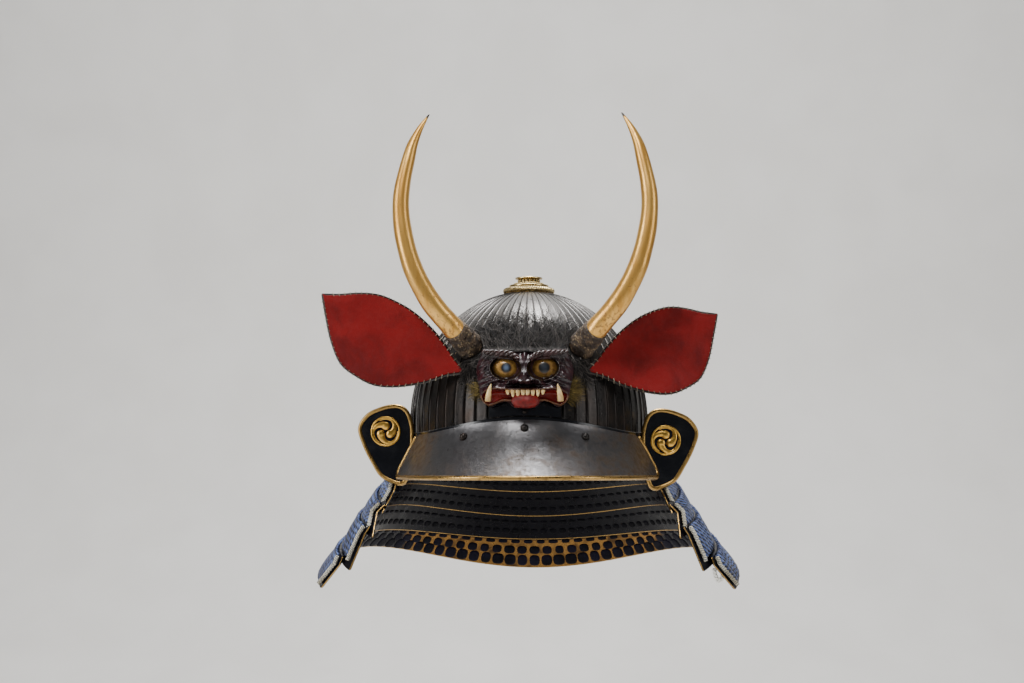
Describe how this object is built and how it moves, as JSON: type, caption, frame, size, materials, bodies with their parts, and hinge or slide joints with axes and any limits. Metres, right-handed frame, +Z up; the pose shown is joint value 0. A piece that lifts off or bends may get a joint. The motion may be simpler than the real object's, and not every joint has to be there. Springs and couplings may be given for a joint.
{
  "type": "samurai helmet",
  "caption": "Ribbed iron samurai helmet with a horned and eared demon mask on the brow, a visor, turned-back wings with comma crests and a flared, laced neck guard.",
  "frame": {"origin": "middle of the bowl's mouth, at the height of its rim at the sides, where the head sits", "axes": "+Z up through the crown, the helmet faces -Y, +X to the right as seen from the front"},
  "size_m": [0.3566, 0.3543, 0.392],
  "materials": {
    "russet_iron": "russet-lacquered iron, satin",
    "gilt_copper": "worn gilding on copper",
    "black_lacquer": "black lacquer, glossy",
    "brown_lacquer": "purplish brown lacquer over carved wood",
    "gilt_horn": "gold leaf over carved wood",
    "cuff_hide": "brown pebbled hide",
    "dark_leather": "dark brown leather, matt",
    "red_leather": "red-dyed leather, matt",
    "dark_hair": "dark brown hair",
    "brass_eye": "gilt metal leaf",
    "bone": "ivory-coloured lacquer",
    "red_lacquer": "red lacquer, glossy",
    "blue_silk": "blue silk cord"
  },
  "bodies": {
    "root": {"bowl": "russet_iron", "crown_rope_ring": "gilt_copper", "crown_tiers": "gilt_copper", "crown_collar": "gilt_copper", "base_band": "black_lacquer", "visor": "russet_iron", "visor_rim": "gilt_copper", "visor_rivet_left": "russet_iron", "visor_rivet_middle": "russet_iron", "visor_rivet_right": "russet_iron", "mask_holder": "black_lacquer", "holder_rivet": "russet_iron", "mask": "brown_lacquer", "eye_left": "brass_eye", "eye_right": "brass_eye", "tusk_left": "bone", "tusk_right": "bone", "tooth_1": "bone", "tooth_2": "bone", "tooth_3": "bone", "tooth_4": "bone", "tooth_5": "bone", "tooth_6": "bone", "tooth_7": "bone", "tooth_8": "bone", "tongue": "red_lacquer", "brow_hide": "dark_hair", "cheek_tuft_left": "dark_hair", "cheek_tuft_right": "dark_hair", "horn_cuff_left": "cuff_hide", "horn_cuff_right": "cuff_hide", "horn_left": "gilt_horn", "horn_right": "gilt_horn", "ear_left": "dark_leather", "ear_right": "dark_leather", "ear_lining_left": "red_leather", "ear_lining_right": "red_leather", "lame_1": "black_lacquer", "lame_2": "black_lacquer", "lame_3": "black_lacquer", "lame_4": "black_lacquer", "lame_5": "black_lacquer", "lacing_2": "blue_silk", "lacing_3": "blue_silk", "lacing_4": "blue_silk", "lacing_5": "blue_silk", "wing_left": "black_lacquer", "wing_right": "black_lacquer", "wing_rim_left": "gilt_copper", "wing_rim_right": "gilt_copper", "crest_left": "gilt_copper", "crest_right": "gilt_copper"}
  },
  "joints": []
}
